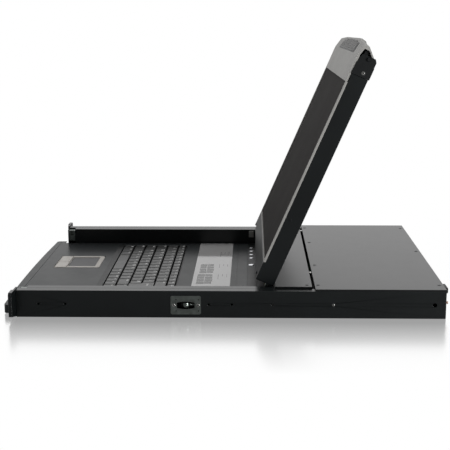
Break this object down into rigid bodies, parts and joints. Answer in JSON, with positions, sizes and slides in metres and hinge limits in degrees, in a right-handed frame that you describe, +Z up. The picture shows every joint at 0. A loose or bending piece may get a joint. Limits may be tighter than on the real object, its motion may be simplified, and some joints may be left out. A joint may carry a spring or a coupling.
{
  "type": "rack console kvm switch",
  "caption": "Slide-out rack console with a fold-up display, keyboard and touchpad deck, and a KVM switch with video ports at its rear.",
  "frame": {"origin": "bottom centre of the whole unit, display open", "axes": "+Z up, -Y to the user, +X to the user's right"},
  "size_m": [0.4826, 0.623, 0.3746],
  "materials": {
    "black_steel": "black powder coat, fine texture",
    "grey_steel": "dark grey powder coat",
    "grey_coated": "grey satin paint",
    "zinc_steel": "blue zinc plate",
    "yellow_zinc": "yellow zinc plate",
    "bright_steel": "nickel plate",
    "port_shell": "tinned shell",
    "brass": "plain brass",
    "black_plastic": "fine spark texture",
    "grey_plastic": "satin moulded",
    "silver_plastic": "silver paint",
    "light_plastic": "light grey moulded",
    "pad_plastic": "fine matt film",
    "key_plastic": "fine spark texture",
    "chrome_button": "plated",
    "dome_rubber": "silicone sheet",
    "grip_rubber": "ribbed soft moulding",
    "circuit_board": "solder mask",
    "screen": "anti-glare film"
  },
  "bodies": {
    "chassis": {"base_pan": "black_steel", "console_ports": "port_shell", "control_strip": "black_plastic", "cover_screws": "bright_steel", "deck_plate": "grey_coated", "display_board": "circuit_board", "front_lip": "grey_coated", "ground_stud": "brass", "hinge_brackets": "zinc_steel", "hinge_pins": "bright_steel", "hinge_support_blocks": "light_plastic", "inner_rail_left": "black_steel", "inner_rail_right": "black_steel", "key_dome_sheet": "dome_rubber", "keyboard_well": "black_plastic", "label_strip": "silver_plastic", "latch_plates": "zinc_steel", "main_board": "circuit_board", "middle_cover": "grey_steel", "power_inlet": "black_plastic", "power_supply": "bright_steel", "rack_ears": "black_steel", "rear_bumper": "black_plastic", "rear_cover": "grey_steel", "rear_panel": "black_steel", "side_screws": "bright_steel", "side_wall_left": "black_steel", "side_wall_right": "black_steel", "strike_blocks": "zinc_steel", "touchpad_pad": "pad_plastic", "touchpad_surround": "silver_plastic", "video_ports": "port_shell"},
    "display": {"lcd_back_cover": "black_steel", "lcd_bezel": "grey_plastic", "lcd_panel": "screen", "handle_front_shell": "grey_plastic", "handle_back_shell": "grey_plastic", "handle_grip": "grip_rubber", "corner_brackets": "black_plastic", "hinge_arms": "yellow_zinc", "lcd_screws": "bright_steel"},
    "catch_right": {"release_catch_right": "black_plastic"},
    "catch_left": {"release_catch_left": "black_plastic"},
    "roller_right": {"latch_roller_right": "bright_steel"},
    "roller_left": {"latch_roller_left": "bright_steel"},
    "touch_left": {"touch_button_left": "silver_plastic"},
    "touch_right": {"touch_button_right": "silver_plastic"},
    "rocker": {"power_rocker": "black_plastic"},
    "power_button": {"display_power_button": "chrome_button"},
    "space_bar": {"space_bar": "key_plastic"},
    "osd_1": {"osd_button_1": "chrome_button"},
    "osd_2": {"osd_button_2": "chrome_button"},
    "osd_3": {"osd_button_3": "chrome_button"},
    "osd_4": {"osd_button_4": "chrome_button"},
    "keys_function": {"key_row_function": "key_plastic"},
    "keys_number": {"key_row_number": "key_plastic"},
    "keys_upper": {"key_row_upper": "key_plastic"},
    "keys_home": {"key_row_home": "key_plastic"},
    "keys_lower": {"key_row_lower": "key_plastic"},
    "keys_bottom": {"key_row_bottom": "key_plastic"}
  },
  "joints": [
    {"name": "display_hinge", "type": "hinge", "parent": "chassis", "child": "display", "pos_m": [0, 0.0634, 0.0357], "axis": [1, 0, 0], "range_deg": [-3, 113.6]},
    {"name": "catch_right_slide", "type": "slide", "parent": "display", "child": "catch_right", "axis": [1, 0, 0], "range_m": [-0.0035, 0], "stiffness_N_per_m": 400, "springref_m": 0.002},
    {"name": "catch_left_slide", "type": "slide", "parent": "display", "child": "catch_left", "axis": [-1, 0, 0], "range_m": [-0.0035, 0], "stiffness_N_per_m": 400, "springref_m": 0.002},
    {"name": "roller_right_press", "type": "slide", "parent": "chassis", "child": "roller_right", "axis": [-1, 0, 0], "range_m": [0, 0.003], "stiffness_N_per_m": 500, "springref_m": -0.001},
    {"name": "roller_left_press", "type": "slide", "parent": "chassis", "child": "roller_left", "axis": [1, 0, 0], "range_m": [0, 0.003], "stiffness_N_per_m": 500, "springref_m": -0.001},
    {"name": "touch_left_press", "type": "slide", "parent": "chassis", "child": "touch_left", "axis": [0, 0, -1], "range_m": [0, 0.0008], "stiffness_N_per_m": 300, "springref_m": -0.001},
    {"name": "touch_right_press", "type": "slide", "parent": "chassis", "child": "touch_right", "axis": [0, 0, -1], "range_m": [0, 0.0008], "stiffness_N_per_m": 300, "springref_m": -0.001},
    {"name": "osd_1_press", "type": "slide", "parent": "chassis", "child": "osd_1", "axis": [0, 0, -1], "range_m": [0, 0.001], "stiffness_N_per_m": 300, "springref_m": -0.001},
    {"name": "osd_2_press", "type": "slide", "parent": "chassis", "child": "osd_2", "axis": [0, 0, -1], "range_m": [0, 0.001], "stiffness_N_per_m": 300, "springref_m": -0.001},
    {"name": "osd_3_press", "type": "slide", "parent": "chassis", "child": "osd_3", "axis": [0, 0, -1], "range_m": [0, 0.001], "stiffness_N_per_m": 300, "springref_m": -0.001},
    {"name": "osd_4_press", "type": "slide", "parent": "chassis", "child": "osd_4", "axis": [0, 0, -1], "range_m": [0, 0.001], "stiffness_N_per_m": 300, "springref_m": -0.001},
    {"name": "power_button_press", "type": "slide", "parent": "chassis", "child": "power_button", "axis": [0, 0, -1], "range_m": [0, 0.001], "stiffness_N_per_m": 300, "springref_m": -0.001},
    {"name": "space_bar_press", "type": "slide", "parent": "chassis", "child": "space_bar", "axis": [0, 0, -1], "range_m": [0, 0.0022], "stiffness_N_per_m": 300, "springref_m": -0.001},
    {"name": "keys_function_press", "type": "slide", "parent": "chassis", "child": "keys_function", "axis": [0, 0, -1], "range_m": [0, 0.0022], "stiffness_N_per_m": 700, "springref_m": -0.0012},
    {"name": "keys_number_press", "type": "slide", "parent": "chassis", "child": "keys_number", "axis": [0, 0, -1], "range_m": [0, 0.0022], "stiffness_N_per_m": 700, "springref_m": -0.0012},
    {"name": "keys_upper_press", "type": "slide", "parent": "chassis", "child": "keys_upper", "axis": [0, 0, -1], "range_m": [0, 0.0022], "stiffness_N_per_m": 700, "springref_m": -0.0012},
    {"name": "keys_home_press", "type": "slide", "parent": "chassis", "child": "keys_home", "axis": [0, 0, -1], "range_m": [0, 0.0022], "stiffness_N_per_m": 700, "springref_m": -0.0012},
    {"name": "keys_lower_press", "type": "slide", "parent": "chassis", "child": "keys_lower", "axis": [0, 0, -1], "range_m": [0, 0.0022], "stiffness_N_per_m": 700, "springref_m": -0.0012},
    {"name": "keys_bottom_press", "type": "slide", "parent": "chassis", "child": "keys_bottom", "axis": [0, 0, -1], "range_m": [0, 0.0022], "stiffness_N_per_m": 700, "springref_m": -0.0012},
    {"name": "rocker_turn", "type": "hinge", "parent": "chassis", "child": "rocker", "pos_m": [0.177, 0.3035, 0.02], "axis": [1, 0, 0], "range_deg": [0, 12]}
  ]
}
